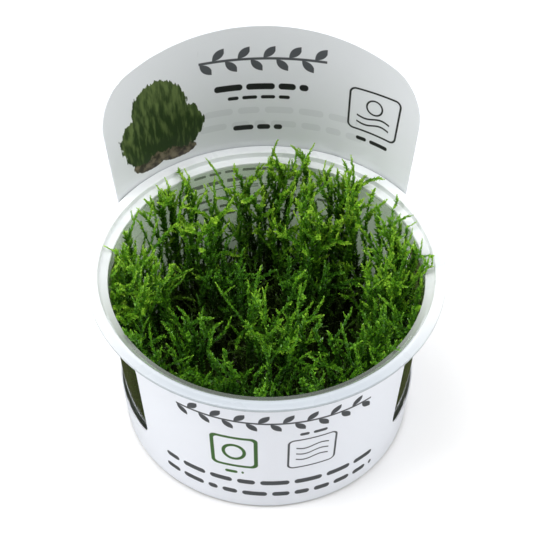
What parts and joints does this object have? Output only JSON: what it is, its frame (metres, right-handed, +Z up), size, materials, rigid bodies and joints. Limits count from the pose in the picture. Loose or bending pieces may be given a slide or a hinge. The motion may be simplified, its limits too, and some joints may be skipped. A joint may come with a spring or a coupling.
{
  "type": "taiwan moss tissue culture cup",
  "caption": "Clear flanged plastic cup of nutrient gel with dense clumps of upright green moss, in a white label sleeve with side windows and a tall header behind the rim.",
  "frame": {"origin": "centre of the cup's flat underside, on the cup's axis", "axes": "+Z up along the cup's axis, -Y towards the front of the label, +Y towards the header behind the rim, +X to the right seen from the front"},
  "size_m": [0.1, 0.1007, 0.1005],
  "materials": {
    "clear_plastic": "clear, glossy",
    "label_plastic": "white film, satin, slightly translucent, printed",
    "nutrient_gel": "clear wet gel",
    "moss": "fresh green, soft, slightly glossy leaves"
  },
  "bodies": {
    "root": {"cup": "clear_plastic", "label_sleeve": "label_plastic", "nutrient_gel": "nutrient_gel", "moss_back_left": "moss", "moss_back": "moss", "moss_back_right": "moss", "moss_left": "moss", "moss_right": "moss", "moss_front_left": "moss", "moss_front_right": "moss", "moss_front": "moss", "moss_middle_left": "moss", "moss_middle_right": "moss", "moss_centre": "moss"}
  },
  "joints": []
}
